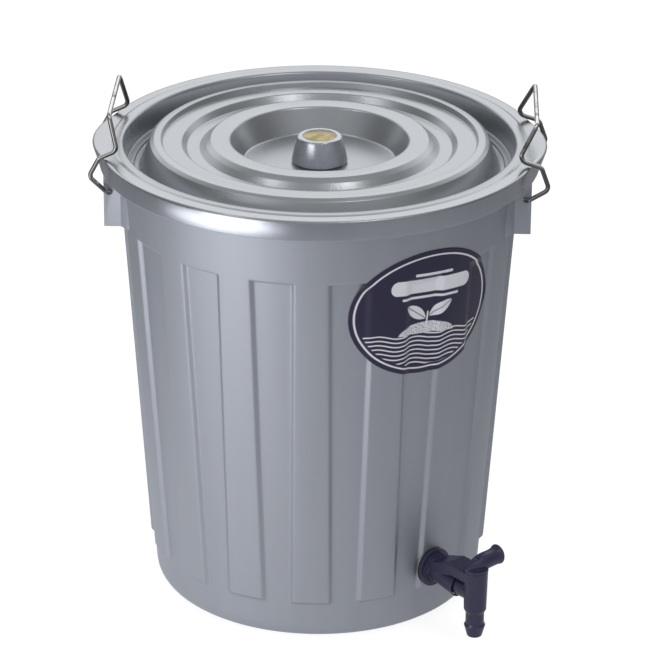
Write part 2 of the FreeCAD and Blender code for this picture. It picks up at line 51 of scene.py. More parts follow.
class Signal:
    # a shader socket that takes part in sums
    def __init__(self, finish, socket):
        self.finish = finish
        self.socket = socket

    def __add__(self, other):
        return self.finish.maths("ADD", self, other)

    def __sub__(self, other):
        return self.finish.maths("SUBTRACT", self, other)

    def __rsub__(self, other):
        return self.finish.maths("SUBTRACT", other, self)

    def __mul__(self, other):
        return self.finish.maths("MULTIPLY", self, other)

    def __truediv__(self, other):
        return self.finish.maths("DIVIDE", self, other)

    def __pow__(self, other):
        return self.finish.maths("POWER", self, other)

    def __abs__(self):
        return self.finish.maths("ABSOLUTE", self)

    __radd__ = __add__
    __rmul__ = __mul__


class Finish:
    # the nodes of one material or of the world
    def __init__(self, owner):
        self.owner = owner
        owner.use_nodes = True
        self.tree = owner.node_tree
        self.tree.nodes.clear()

    def node(self, kind, settings=None, inputs=None, output=0):
        made = self.tree.nodes.new(kind)
        for key, value in (settings or {}).items():
            setattr(made, key, value)
        for key, value in (inputs or {}).items():
            socket = made.inputs[key]
            if isinstance(value, Signal):
                self.tree.links.new(value.socket, socket)
            elif isinstance(value, tuple) and len(value) == 3 and socket.type == "RGBA":
                socket.default_value = (*value, 1)
            else:
                socket.default_value = value
        return Signal(self, made.outputs[output]) if made.outputs else None

    def maths(self, operation, *values):
        return self.node("ShaderNodeMath", {"operation": operation}, dict(enumerate(values)))

    def step(self, value, start, end):
        # 0 below start and 1 above end, smooth between
        settings = {"interpolation_type": "SMOOTHSTEP"}
        inputs = {"Value": value, "From Min": start, "From Max": end}
        return self.node("ShaderNodeMapRange", settings, inputs)

    def mix(self, factor, first, second, blend="MIX"):
        settings = {"data_type": "RGBA", "blend_type": blend}
        return self.node("ShaderNodeMix", settings, {0: factor, 6: first, 7: second}, output=2)

    def place(self, output="Object"):
        return self.node("ShaderNodeTexCoord", output=output)

    def parts(self, vector):
        split = self.node("ShaderNodeSeparateXYZ", None, {0: vector})
        return [Signal(self, socket) for socket in split.socket.node.outputs]

    def join(self, x, y, z):
        return self.node("ShaderNodeCombineXYZ", None, {0: x, 1: y, 2: z})

    def stretch(self, vector, scale):
        return self.node("ShaderNodeVectorMath", {"operation": "MULTIPLY"}, {0: vector, 1: scale})

    def noise(self, vector, scale, detail=2.0):
        return self.node("ShaderNodeTexNoise", None, {"Vector": vector, "Scale": scale, "Detail": detail})

    def cells(self, vector, scale):
        return self.node("ShaderNodeTexVoronoi", None, {"Vector": vector, "Scale": scale})

    def relief(self, height):
        # heights are in millimetres
        return self.node("ShaderNodeBump", None, {"Height": height, "Distance": mm, "Strength": 1.0})

    def surface(self, kind, **sockets):
        # socket names with their spaces written as underscores
        return self.node(kind, None, {name.replace("_", " "): value for name, value in sockets.items()})

    def finished(self, shader, output="ShaderNodeOutputMaterial"):
        self.node(output, None, {"Surface": shader})
        return self.owner


mould = {"cloudScale": 7.0, "flakeScale": 1500.0, "scuffScale": (40.0, 40.0, 260.0),
         "scuffEdges": (0.55, 0.8), "cloudGloss": 0.08, "streakGloss": 0.03, "rippleScale": 26.0,
         "grainScale": 1900.0,
         "polish": 0.0, "polishFrom": 0.0, "polishBlend": 0.002,
         "paintedPale": (0.0, 0.0, 0.0), "paintedPaleFrom": 1.0, "paintedPaleBlend": 0.0005,
         "paintedShade": 0.0, "paintedShadeFrom": 0.0, "paintedShadeBlend": 0.004, "paintedShadeTop": 1.0, "paintedShadeFade": 0.012}


def moulded(name, look):
    # moulded plastic: faint flow streaks, a little flake, cloudy gloss, fine scuffs, a glossier top, a
    # painted highlight that makes the face above a height paler, and painted shade outside a radius and
    # below a height
    look = {**mould, **look}
    f = Finish(bpy.data.materials.new(name))
    place = f.place()
    x, y, z = f.parts(place)
    cloud = f.noise(place, look["cloudScale"], 3.0) - 0.5
    streak = f.noise(f.stretch(place, look["streakScale"]), 1.0, 3.0) - 0.5
    flake = f.cells(place, look["flakeScale"]) - 0.5
    scuff = f.step(f.noise(f.stretch(place, look["scuffScale"]), 1.0, 2.0), *look["scuffEdges"])
    tone = 1.0 + cloud * look["cloud"] + streak * look["streak"]
    tone = tone + flake * look["flake"] + scuff * look["scuff"]
    radius = (x * x + y * y) ** 0.5
    # painted shade: darker outside a radius and below a height, standing in for the shade in the lid's
    # trough
    outside = f.step(radius, look["paintedShadeFrom"] - look["paintedShadeBlend"], look["paintedShadeFrom"] + look["paintedShadeBlend"])
    below = 1.0 - f.step(z, look["paintedShadeTop"] - look["paintedShadeFade"], look["paintedShadeTop"])
    tone = tone * (1.0 - outside * below * look["paintedShade"])
    # painted highlight: the face above a height is made paler, standing in for light on the rim's top
    paintedTopLight = f.step(z, look["paintedPaleFrom"] - look["paintedPaleBlend"], look["paintedPaleFrom"])
    tones = [tone * (1.0 + paintedTopLight * share) for share in look["paintedPale"]]
    colour = f.mix(1.0, look["colour"], f.join(*tones), "MULTIPLY")
    polish = f.step(z, look["polishFrom"] - look["polishBlend"], look["polishFrom"]) * look["polish"]
    roughness = look["roughness"] - polish + cloud * look["cloudGloss"] + streak * look["streakGloss"]
    ripple = f.noise(place, look["rippleScale"], 1.0) * look["ripple"]
    grain = f.noise(place, look["grainScale"], 2.0) * look["grain"]
    return f.finished(f.surface("ShaderNodeBsdfPrincipled", Base_Color=colour, Roughness=roughness,
                                Metallic=look["metal"], Normal=f.relief(ripple + grain)))


plating = {"spotEdges": (0.52, 0.74), "spotGloss": 0.12, "under": 0.0, "undersideShadeEdges": (0.05, 0.6)}


def metal(name, look):
    # plated metal: fine lines, spots where the plating is thin, and painted shade on the faces that point
    # down
    look = {**plating, **look}
    f = Finish(bpy.data.materials.new(name))
    place = f.place()
    lines = f.noise(f.stretch(place, look["lineScale"]), 1.0, 2.0) - 0.5
    spots = f.step(f.noise(place, look["spotScale"], 4.0), *look["spotEdges"])
    # painted shade: the faces that point down are darkened towards the spot colour by the under share, mixed
    # in with the spots
    x, y, z = f.parts(f.place("Normal"))
    under = (1.0 - f.step(z, *look["undersideShadeEdges"])) * look["under"]
    dull = f.maths("MAXIMUM", spots * look["spots"], under)
    colour = f.mix(dull, look["colour"], look["spotAndShadeColour"])
    roughness = look["roughness"] + lines * look["lines"] + spots * look["spotGloss"]
    return f.finished(f.surface("ShaderNodeBsdfPrincipled", Base_Color=colour, Roughness=roughness,
                                Metallic=1.0, Normal=f.relief(lines * look["lineDepth"])))


# Looks that belong to more than one piece

# the bin's rim top, above 432.5 mm, gets a painted highlight that makes it paler
binPlastic = moulded("binPlastic", {
    "colour": (0.448, 0.468, 0.524), "metal": 0.86, "roughness": 0.58, "cloud": 0.08, "streak": 0.10,
    "flake": 0.05, "scuff": 0.02, "ripple": 0.2, "grain": 0.02, "streakScale": (60.0, 60.0, 3.0),
    "polish": 0.33, "polishFrom": 0.4145, "paintedPale": (0.12, 0.09, 0.01), "paintedPaleFrom": 0.4325})
# the lid gets painted shade in its trough, outside 168 mm and below 434 mm
lidPlastic = moulded("lidPlastic", {
    "colour": (0.505, 0.522, 0.548), "metal": 0.8, "roughness": 0.28, "cloud": 0.06, "streak": 0.03,
    "flake": 0.05, "scuff": 0.02, "ripple": 0.15, "grain": 0.02, "streakScale": (14.0, 14.0, 14.0),
    "paintedShade": 0.3, "paintedShadeFrom": 0.168, "paintedShadeTop": 0.434})
knobPlastic = moulded("knobPlastic", {
    "colour": (0.54, 0.56, 0.61), "metal": 0.85, "roughness": 0.27, "cloud": 0.08, "streak": 0.04,
    "flake": 0.06, "scuff": 0.08, "ripple": 0.1, "grain": 0.02, "streakScale": (120.0, 120.0, 8.0)})
tapPlastic = moulded("tapPlastic", {
    "colour": (0.040, 0.037, 0.086), "metal": 0.0, "roughness": 0.26, "cloud": 0.14, "streak": 0.1,
    "flake": 0.08, "scuff": 0.25, "ripple": 0.08, "grain": 0.03, "streakScale": (90.0, 90.0, 90.0)})
platePlastic = moulded("platePlastic", {
    "colour": (0.06, 0.063, 0.066), "metal": 0.0, "roughness": 0.5, "cloud": 0.2, "streak": 0.1,
    "flake": 0.05, "scuff": 0.5, "ripple": 0.15, "grain": 0.04, "streakScale": (20.0, 20.0, 20.0)})
plugPlastic = moulded("plugPlastic", {
    "colour": (0.09, 0.09, 0.10), "metal": 0.0, "roughness": 0.35, "cloud": 0.1, "streak": 0.05,
    "flake": 0.04, "scuff": 0.3, "ripple": 0.05, "grain": 0.02, "streakScale": (60.0, 60.0, 60.0)})
rubber = moulded("rubber", {
    "colour": (0.018, 0.018, 0.019), "metal": 0.0, "roughness": 0.72, "cloud": 0.3, "streak": 0.2,
    "flake": 0.1, "scuff": 0.8, "ripple": 0.1, "grain": 0.06, "streakScale": (200.0, 200.0, 200.0)})
platedSteel = metal("platedSteel", {
    "colour": (0.58, 0.58, 0.57), "spotAndShadeColour": (0.36, 0.35, 0.33), "spots": 0.6, "roughness": 0.28,
    "lines": 0.12, "lineDepth": 0.02, "lineScale": (300.0, 300.0, 1500.0), "spotScale": 160.0})
# the wires get painted shade on their lower side through the under share
wireSteel = metal("wireSteel", {
    "colour": (0.72, 0.72, 0.715), "spotAndShadeColour": (0.07, 0.068, 0.066), "spots": 0.85, "roughness": 0.1,
    "lines": 0.08, "lineDepth": 0.01, "lineScale": (700.0, 700.0, 60.0), "spotScale": 75.0,
    "under": 0.85})
print("looks mixed")


# Mesh building, all in millimetres

def smooth(share):
    # eases a share from 0 to 1
    share = min(max(share, 0.0), 1.0)
    return share * share * (3 - 2 * share)


def flatCorners(corners):
    # a flat corner is across, up and an optional radius
    return [(Vector(c[:2]), c[2] if len(c) > 2 else 0.0) for c in corners]


def roundedLine(corners, steps=5, closed=False):
    # line through corners that are each a point and the radius that rounds it
    line = []
    count = len(corners)
    for i, (here, radius) in enumerate(corners):
        if radius <= 0 or (not closed and i in (0, count - 1)):
            line.append(here)
            continue
        before = (corners[i - 1][0] - here).normalized()
        after = (corners[(i + 1) % count][0] - here).normalized()
        half = before.angle(after) / 2
        centre = here + (before + after).normalized() * (radius / math.sin(half))
        first = here + before * (radius / math.tan(half)) - centre
        last = here + after * (radius / math.tan(half)) - centre
        turn = math.pi - 2 * half
        for k in range(steps + 1):
            share = k / steps
            line.append(centre + (first * math.sin((1 - share) * turn) + last * math.sin(share * turn))
                        / math.sin(turn))
    return line


def piece(name, points, faces, material, crease=None):
    # a smooth shaded object, sharp where faces meet at more than the crease angle
    mesh = bpy.data.meshes.new(name)
    mesh.from_pydata([Vector(p) * mm for p in points], [], faces)
    welded = bmesh.new()
    welded.from_mesh(mesh)
    bmesh.ops.remove_doubles(welded, verts=welded.verts, dist=weldGap * mm)
    bmesh.ops.recalc_face_normals(welded, faces=welded.faces)
    welded.to_mesh(mesh)
    welded.free()
    mesh.polygons.foreach_set("use_smooth", [True] * len(mesh.polygons))
    if crease:
        mesh.set_sharp_from_angle(angle=math.radians(crease))
    mesh.materials.append(material)
    made = bpy.data.objects.new(name, mesh)
    bpy.context.scene.collection.objects.link(made)
    return made


def grid(name, rows, material, closed=False, crease=None):
    # rows of points that each go right round; closed joins the last row to the first
    around = len(rows[0])
    faces = []
    for i in range(len(rows) if closed else len(rows) - 1):
        below = i * around
        above = (i + 1) % len(rows) * around
        for j in range(around):
            k = (j + 1) % around
            faces.append((below + j, below + k, above + k, above + j))
    return piece(name, [p for row in rows for p in row], faces, material, crease)


def circle(radius, height, around):
    step = 2 * math.pi / around
    return [(radius * math.sin(j * step), -radius * math.cos(j * step), height) for j in range(around)]


def turned(name, corners, material, around, closed=False, steps=5, crease=40):
    # a rounded line turned round the upright axis
    line = roundedLine(flatCorners(corners), steps, closed)
    return grid(name, [circle(p.x, p.y, around) for p in line], material, closed, crease)


def prismFaces(count):
    # sides and ends between two rings of points
    sides = [(k, (k + 1) % count, count + (k + 1) % count, count + k) for k in range(count)]
    return sides + [tuple(range(count)), tuple(range(2 * count - 1, count - 1, -1))]


def prism(name, outline, low, high, material):
    # an upright solid on an outline
    points = [(x, y, z) for z in (low, high) for x, y in outline]
    return piece(name, points, prismFaces(len(outline)), material)


def keep(made, body, nodes):
    # puts the piece on its body, in place of its nodes
    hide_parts(*nodes)
    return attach(made, body)


def withModifiers(made):
    # bakes the modifiers into the mesh
    graph = bpy.context.evaluated_depsgraph_get()
    mesh = bpy.data.meshes.new_from_object(made.evaluated_get(graph))
    made.modifiers.clear()
    made.data = mesh
    return made


# Tub

tub = {
    "rimRadius": 200.0, "rimHeight": 433.0, "rimThickness": 3.0, "rimRound": 2.4, "rimInnerRound": 1.0,
    "shelfMargin": 1.5, "shelfSteps": 8, "joinInside": 6.0, "joinOutside": 4.0,
    "skirtHeight": 18.5, "skirtThickness": 2.8, "skirtDraft": 0.6, "skirtRound": 0.8, "skirtRoot": 1.2,
    "ribBottom": 155.0, "ribTop": 183.0, "wall": 3.0, "baseRound": 16.0, "baseSteps": 8, "floor": 6.0,
    "foot": 2.0, "footRadius": 116.0, "footSlope": 0.5, "footRound": 0.6, "footRings": (130.0, 90.0, 40.0),
    "panels": 16, "panelDepth": 3.4, "panelFlank": 3.4, "panelLow": 38.0, "panelHigh": 364.0,
    "panelWidthLow": 29.5, "panelWidthHigh": 41.0, "edgeRound": 0.9, "ribFoot": 3.0, "panelHead": 1.3,
    "headRound": 0.5, "edgeSteps": (-1.2, -0.4, 0.4, 1.2), "widthFrom": 20.0, "widthTo": 380.0,
    "evenFrom": 368.0, "evenTo": 420.0, "upperRows": (412.0, 402.0, 392.0, 382.0, 374.0),
    "headRows": (2.0, 1.4, 0.8, 0.3, -0.2, -0.8, -1.6), "middleRows": 25, "middleStart": 6.0,
    "middlePitch": 13.0, "footRows": (4.6, 3.6, 2.8, 1.6, 0.6, -0.2, -1.0, -4.0, -10.0, -16.0),
    "lugReach": 207.0, "lugHalf": 54.0, "lugDraft": 6.5, "lugBlend": 0.7, "lugInside": 0.15,
    "dentDepth": 0.3, "dentTurn": 18.5, "dentRadius": 189.0, "dentLength": 12.0, "dentWidth": 5.0,
    "dentBelow": 0.01}
skirtBottom = tub["rimHeight"] - tub["skirtHeight"]
wallSlope = (tub["ribTop"] - tub["ribBottom"]) / skirtBottom


def ribRadius(height):
    return tub["ribBottom"] + wallSlope * height


def panelWidth(height):
    share = (height - tub["panelLow"]) / (tub["panelHigh"] - tub["panelLow"])
    return tub["panelWidthLow"] + (tub["panelWidthHigh"] - tub["panelWidthLow"]) * share


def ramp(value, length, soft):
    # 0, then a straight climb to length, rounded at both ends
    if value <= -soft:
        return 0.0
    if value < soft:
        return (value + soft) ** 2 / (4 * soft)
    if value <= length - soft:
        return value
    if value < length + soft:
        return length - (length + soft - value) ** 2 / (4 * soft)
    return length


def wallRadius(offset, height, inset=0.0):
    # offset is the distance round the wall from the middle of the nearest panel
    flank = tub["panelFlank"]
    start = panelWidth(height) / 2 - flank
    side = ramp(abs(offset) - start, flank, tub["edgeRound"]) / flank
    foot = ramp(height - tub["panelLow"], tub["ribFoot"], tub["edgeRound"]) / tub["ribFoot"]
    head = ramp(height - tub["panelHigh"], tub["panelHead"], tub["headRound"]) / tub["panelHead"]
    return ribRadius(height) - tub["panelDepth"] * (1 - max(side * foot, head)) - inset


def panelOffsets(height):
    # places round one panel and half of each rib beside it, close together on the flanks
    pitch = 2 * math.pi * ribRadius(height) / tub["panels"]
    half = panelWidth(min(max(height, tub["widthFrom"]), tub["widthTo"])) / 2
    steps = [k * tub["edgeRound"] for k in tub["edgeSteps"]]
    inner = half - tub["panelFlank"] + steps[0]
    outer = half + steps[-1]
    near = [inner * k / 4 for k in (1, 2, 3)]
    near += [half - tub["panelFlank"] + step for step in steps]
    near += [half + step for step in steps]
    near += [outer + (pitch / 2 - outer) * k / 4 for k in (1, 2, 3)]
    return [-pitch / 2] + [-v for v in reversed(near)] + [0.0] + near


def wallRow(height, inset):
    # points round the wall, evenly spaced near the rim and following the panels below
    even = smooth((height - tub["evenFrom"]) / (tub["evenTo"] - tub["evenFrom"]))
    offsets = panelOffsets(height)
    turn = 2 * math.pi / tub["panels"]
    row = []
    for panel in range(tub["panels"]):
        for j, offset in enumerate(offsets):
            steady = turn * (j / len(offsets) - 0.5)
            local = offset / ribRadius(height) * (1 - even) + steady * even
            radius = wallRadius(local * ribRadius(height), height, inset)
            angle = turn * (panel + 0.5) + local
            row.append((radius * math.sin(angle), -radius * math.cos(angle), height))
    return row


def lugEdge(angle, drop, inset):
    # distance from the axis to the outside of the rim or of a lug; drop is 0 at the top and 1 below
    rise = tub["lugReach"] - math.sqrt(tub["rimRadius"] ** 2 - tub["lugHalf"] ** 2)
    lugRadius = (tub["lugHalf"] ** 2 + rise ** 2) / (2 * rise)
    centre = tub["lugReach"] - lugRadius
    rim = tub["rimRadius"] - tub["skirtDraft"] * drop - inset
    across = abs(math.cos(angle))
    reach = lugRadius - tub["lugDraft"] * drop - inset
    inside = reach ** 2 - (centre * across) ** 2
    lug = centre * abs(math.sin(angle)) + math.sqrt(inside) if inside > 0 else 0.0
    return (rim + lug + math.sqrt((rim - lug) ** 2 + tub["lugBlend"])) / 2


def dent(angle, radius):
    # shallow dip in the top of the rim beside each wire
    inwards = (radius - tub["dentRadius"]) / tub["dentWidth"]
    depth = 0.0
    for side in (90, 270):
        for way in (-1, 1):
            away = math.radians(side + way * tub["dentTurn"]) - angle
            away = math.atan2(math.sin(away), math.cos(away)) * radius / tub["dentLength"]
            depth += tub["dentDepth"] * math.exp(-away ** 2 - inwards ** 2)
    return depth


def rimRows(count):
    # over the rim from the inside of the wall, down the skirt and back under to the wall
    top = tub["rimHeight"]
    under = top - tub["rimThickness"]
    thin = tub["skirtThickness"]
    low = top - tub["joinInside"]
    last = under - tub["joinOutside"]
    inside = ribRadius(top) - tub["wall"]
    shelfStart = inside + tub["shelfMargin"]
    columns = []
    for j in range(count):
        angle = 2 * math.pi * (j / count)
        outside = lugEdge(angle, 0, 0)
        below = lugEdge(angle, 1, 0)
        shelfWidth = outside - 2 * tub["rimRound"] - shelfStart
        corners = [(ribRadius(low) - tub["wall"], low), (inside, top, tub["rimInnerRound"])]
        for k in range(tub["shelfSteps"] + 1):
            corners.append((shelfStart + shelfWidth * k / tub["shelfSteps"], top))
        corners += [(outside, top, tub["rimRound"]), (below, skirtBottom, tub["skirtRound"]),
                    (below - thin, skirtBottom, tub["skirtRound"]),
                    (lugEdge(angle, tub["lugInside"], thin), under, tub["skirtRoot"]),
                    (ribRadius(under), under, tub["skirtRoot"]), (ribRadius(last), last)]
        column = []
        for p in roundedLine(flatCorners(corners)):
            drop = dent(angle, p.x) if p.y > top - tub["dentBelow"] else 0.0
            column.append((p.x * math.sin(angle), -p.x * math.cos(angle), p.y - drop))
        columns.append(column)
    return [[column[i] for column in columns] for i in range(len(columns[0]))]


def baseArc(inset, floor, count):
    # the rounded corner between wall and floor, from the wall inwards
    lean = math.atan(wallSlope)
    round_ = tub["baseRound"] - inset
    startHeight = floor + round_ * (1 - math.sin(lean))
    centre = wallRadius(0, startHeight, inset) - round_ * math.cos(lean)
    turns = [lean + (math.pi / 2 - lean) * k / tub["baseSteps"] for k in range(tub["baseSteps"] + 1)]
    return [circle(centre + round_ * math.cos(a), floor + round_ * (1 - math.sin(a)), count) for a in turns]


def wallHeights():
    # from the skirt down to the base, close together at the head and the foot of the panels
    head = tub["panelHigh"]
    heights = [tub["evenTo"], *tub["upperRows"], tub["evenFrom"]]
    heights += [head + step for step in tub["headRows"]]
    heights += [head - tub["middleStart"] - tub["middlePitch"] * k for k in range(tub["middleRows"])]
    return heights + [tub["panelLow"] + step for step in tub["footRows"]]


def makeTub():
    count = tub["panels"] * len(panelOffsets(tub["panelLow"]))
    outerRing, middleRing, innerRing = tub["footRings"]
    outer = [wallRow(height, 0.0) for height in wallHeights()]
    inner = [wallRow(height, tub["wall"]) for height in wallHeights()]
    base = baseArc(0.0, 0.0, count)
    foot = [(outerRing, 0.0), (tub["footRadius"], 0.0, tub["footRound"]),
            (tub["footRadius"] - tub["footSlope"], tub["foot"], tub["footRound"]),
            (middleRing, tub["foot"]), (innerRing, tub["foot"]), (0.0, tub["foot"])]
    base += [circle(p.x, p.y, count) for p in roundedLine(flatCorners(foot))]
    floor = baseArc(tub["wall"], tub["floor"], count)
    floor += [circle(r, tub["floor"], count) for r in (middleRing, innerRing, 0.0)]
    rows = floor[::-1] + inner[::-1] + rimRows(count) + outer + base
    return grid("tub", rows, binPlastic)


keep(makeTub(), "bin", ["bin_tub"])
print("tub made")


# Brackets under the lugs

bracket = {"reach": 192.0, "half": 54.5, "bottom": 366.0, "wall": 2.5, "root": 177.0, "flare": 8.0,
           "flareReach": 170.0, "inner": 164.0, "overlap": 1.0, "hole": 2.4, "holeSides": 24,
           "holeReach": 70.0, "pinReach": 186.5, "pinHeight": 399.0, "roof": 2.0, "past": 6.0,
           "pastTop": 4.0, "chamberSides": 180, "edge": 0.7, "edgeSteps": 3, "edgeAngle": 25, "crease": 30}


def mirrored(outline, side):
    # an outline given for one quarter, on both sides of the middle
    both = outline + [(x, -y) for x, y in reversed(outline)]
    return [(x * side, y * side) for x, y in both]


def bracketTools(side, top):
    # what is cut out: the pocket below, the hole for the wire's ends and the room of the bin
    low = bracket["bottom"] - bracket["past"]
    far = bracket["reach"] - bracket["wall"]
    near = bracket["inner"] - bracket["past"]
    room = bracket["half"] - bracket["wall"]
    outline = mirrored([(near, room), (far, room)], side)
    pocket = prism("pocket", outline, low, top - bracket["roof"], binPlastic)
    ends = []
    for y in (-bracket["holeReach"], bracket["holeReach"]):
        for k in range(bracket["holeSides"]):
            angle = 2 * math.pi * k / bracket["holeSides"]
            ends.append((side * bracket["pinReach"] + bracket["hole"] * math.cos(angle), y,
                         bracket["pinHeight"] + bracket["hole"] * math.sin(angle)))
    hole = piece("hole", ends, prismFaces(bracket["holeSides"]), binPlastic)
    sides = bracket["chamberSides"]
    walls = []
    for z in (low, top + bracket["pastTop"]):
        walls += circle(ribRadius(z) - tub["wall"] / 2, z, sides)
    chamber = piece("chamber", walls, prismFaces(sides), binPlastic)
    return pocket, hole, chamber


def makeBracket(side):
    half = bracket["half"]
    wide = half + bracket["flare"]
    top = tub["rimHeight"] - 1.5 * tub["rimThickness"] + bracket["overlap"]
    quarter = [(bracket["inner"], wide), (bracket["flareReach"], wide), (bracket["root"], half),
               (bracket["reach"], half)]
    name = "bracketRight" if side > 0 else "bracketLeft"
    made = prism(name, mirrored(quarter, side), bracket["bottom"], top, binPlastic)
    tools = bracketTools(side, top)
    for tool in tools:
        cut = made.modifiers.new("cut", "BOOLEAN")
        cut.operation = "DIFFERENCE"
        cut.object = tool
    edge = made.modifiers.new("edge", "BEVEL")
    edge.width = bracket["edge"] * mm
    edge.segments = bracket["edgeSteps"]
    edge.angle_limit = math.radians(bracket["edgeAngle"])
    withModifiers(made)
    made.data.set_sharp_from_angle(angle=math.radians(bracket["crease"]))
    for tool in tools:
        bpy.data.objects.remove(tool)
    return made


for side in (1, -1):
    keep(makeBracket(side), "bin", ["bin_tub"])
print("brackets made")


# Lid

lid = {"thickness": 2.5, "lip": 188.6, "lipSlope": 2.4, "lipTop": 434.0, "lipRound": 1.5, "around": 320,
       "steps": 6, "underRound": 0.4, "lipUnderRound": 0.5,
       "top": [(177.4, 433.6, 3.6), (175.4, 410.5, 1.5), (169.0, 410.5, 0.8), (168.0, 407.5, 0.8),
               (164.0, 407.5, 1.2), (153.8, 432.6, 2.0), (150.2, 435.1, 2.4), (143.8, 435.9, 1.2),
               (142.2, 431.0, 0.3), (125.0, 431.8, 2.6), (120.3, 425.4, 2.0), (109.0, 425.4, 1.6),
               (103.5, 430.6, 6.0), (98.6, 434.2, 2.2), (81.4, 434.2, 3.4), (69.5, 411.5, 2.5),
               (0.0, 411.5)]}


def below(line, distance):
    # the line moved down by distance, for a line that runs inwards
    moved = []
    for i, here in enumerate(line):
        normals = []
        for a, b in ((i - 1, i), (i, i + 1)):
            if a < 0 or b >= len(line):
                continue
            dx = line[b][0] - line[a][0]
            dz = line[b][1] - line[a][1]
            length = math.hypot(dx, dz)
            normals.append((-dz / length, dx / length))
        nx = sum(n[0] for n in normals)
        nz = sum(n[1] for n in normals)
        scale = distance * 2 / (nx * nx + nz * nz) if len(normals) == 2 else distance
        moved.append((here[0] + nx * scale, here[1] + nz * scale))
    return moved


def makeLid():
    # from the lip over the top to the middle, and back underneath
    seat = tub["rimHeight"]
    under = below([p[:2] for p in lid["top"]], lid["thickness"])
    corners = [(lid["lip"], seat), (lid["lip"] - lid["lipSlope"], lid["lipTop"], lid["lipRound"])]
    corners += lid["top"]
    corners += [(0.0, under[-1][1])]
    corners += [(r, z, lid["underRound"]) for r, z in under[-2:0:-1]]
    corners += [(under[0][0], seat, lid["lipUnderRound"])]
    return turned("lid", corners, lidPlastic, lid["around"], steps=lid["steps"])


keep(makeLid(), "lid", ["lid"])
print("lid made")


# Knob and cap

knob = {"base": 411.5, "height": 25.0, "foot": 25.6, "top": 20.2, "bevel": 2.0, "wall": 3.0, "boss": 9.5,
        "hole": 3.3, "pocket": 7.0, "pocketDepth": 6.0, "footRound": 0.5, "bevelRound": 1.0, "topRound": 2.2,
        "seatRound": 0.6, "cap": 15.2, "capGap": 0.05, "capDepth": 3.0, "capRise": 1.6, "capSink": 0.3,
        "capRound": 0.35, "capFootRound": 0.3, "domeTurn": 0.5, "domeSteps": 12, "around": 128, "steps": 8,
        "capAround": 96, "capSteps": 4}


def makeKnob():
    base = knob["base"]
    top = base + knob["height"]
    seat = top - knob["capDepth"]
    floor = seat - knob["pocketDepth"]
    hollow = floor - knob["wall"]
    foot = knob["foot"] - knob["bevel"]
    capSeat = knob["cap"] + knob["capGap"]
    corners = [(knob["hole"], base), (knob["boss"], base), (knob["boss"], hollow),
               (knob["top"] - knob["wall"], hollow), (foot - knob["wall"], base),
               (foot, base, knob["footRound"]), (knob["foot"], base + knob["bevel"], knob["bevelRound"]),
               (knob["top"], top, knob["topRound"]), (capSeat, top, knob["seatRound"]), (capSeat, seat),
               (knob["pocket"], seat), (knob["pocket"], floor), (knob["hole"], floor)]
    return turned("knob", corners, knobPlastic, knob["around"], closed=True, steps=knob["steps"])


def brassLook():
    # spun brass under lacquer: rings round the middle and darker clouds
    brass = {"colour": (0.42, 0.345, 0.17), "dull": (0.22, 0.175, 0.075), "dullShare": 0.6,
             "ringScale": 4000.0, "ringGloss": 0.14, "ringDepth": 0.03, "cloudScale": 120.0,
             "cloudEdges": (0.4, 0.68), "cloudGloss": 0.08, "roughness": 0.26}
    f = Finish(bpy.data.materials.new("capBrass"))
    place = f.place()
    x, y, z = f.parts(place)
    radius = (x * x + y * y) ** 0.5
    rings = f.noise(f.join(radius * brass["ringScale"], 0.0, 0.0), 1.0, 2.0) - 0.5
    cloud = f.step(f.noise(place, brass["cloudScale"], 3.0), *brass["cloudEdges"])
    colour = f.mix(cloud * brass["dullShare"], brass["colour"], brass["dull"])
    roughness = brass["roughness"] + rings * brass["ringGloss"] + cloud * brass["cloudGloss"]
    return f.finished(f.surface("ShaderNodeBsdfPrincipled", Base_Color=colour, Roughness=roughness,
                                Metallic=1.0, Normal=f.relief(rings * brass["ringDepth"])))


def makeCap():
    # a flat disc with a shallow dome
    seat = knob["base"] + knob["height"] - knob["capDepth"]
    edge = seat + knob["capDepth"] - knob["capSink"]
    turn = knob["domeTurn"]
    corners = [(0.0, seat), (knob["cap"], seat, knob["capFootRound"]), (knob["cap"], edge, knob["capRound"])]
    for k in range(1, knob["domeSteps"] + 1):
        angle = turn * (1 - k / knob["domeSteps"])
        rise = (math.cos(angle) - math.cos(turn)) / (1 - math.cos(turn))
        corners.append((knob["cap"] * math.sin(angle) / math.sin(turn), edge + knob["capRise"] * rise))
    return turned("cap", corners, brassLook(), knob["capAround"], steps=knob["capSteps"])


keep(makeKnob(), "lid", ["lid_knob"])
keep(makeCap(), "lid", ["knob_cap"])
print("knob made")


# Wire handles, the two bent a little differently

wire = {"radius": 2.1, "bend": 6.0, "bendSteps": 8, "chamfer": 0.2, "sides": 24, "crease": 50,
        "pinEnd": 46.5, "legSpan": 120.0, "gripSpan": 105.0,
        # pin, knee, shoulder, inner bend and grip: distance from the axis of the bin, then height
        "right": [(186.5, 399.0), (207.3, 411.5), (199.8, 432.4), (179.3, 439.0), (195.0, 469.8)],
        "left": [(186.5, 399.0), (204.3, 416.0), (195.0, 433.4), (178.7, 441.0), (186.0, 471.3)]}


def swept(name, line, radius, material):
    # round bar along a line of points, its ends slightly chamfered
    headings = []
    for i in range(len(line)):
        before = line[max(i - 1, 0)]
        after = line[min(i + 1, len(line) - 1)]
        headings.append((after - before).normalized())
    inset = headings[0] * radius * wire["chamfer"]
    outset = headings[-1] * radius * wire["chamfer"]
    small = radius * (1 - wire["chamfer"])
    side = headings[0].orthogonal().normalized()
    rows = []
    for i, spot in enumerate(line):
        side = (side - headings[i] * side.dot(headings[i])).normalized()
        other = headings[i].cross(side)
        rings = [(spot, radius)]
        if i == 0:
            rings = [(spot, 0.0), (spot, small), (spot + inset, radius)]
        if i == len(line) - 1:
            rings = [(spot - outset, radius), (spot, small), (spot, 0.0)]
        for centre, size in rings:
            turns = [2 * math.pi * k / wire["sides"] for k in range(wire["sides"])]
            rows.append([centre + (side * math.cos(a) + other * math.sin(a)) * size for a in turns])
    return grid(name, rows, material, crease=wire["crease"])


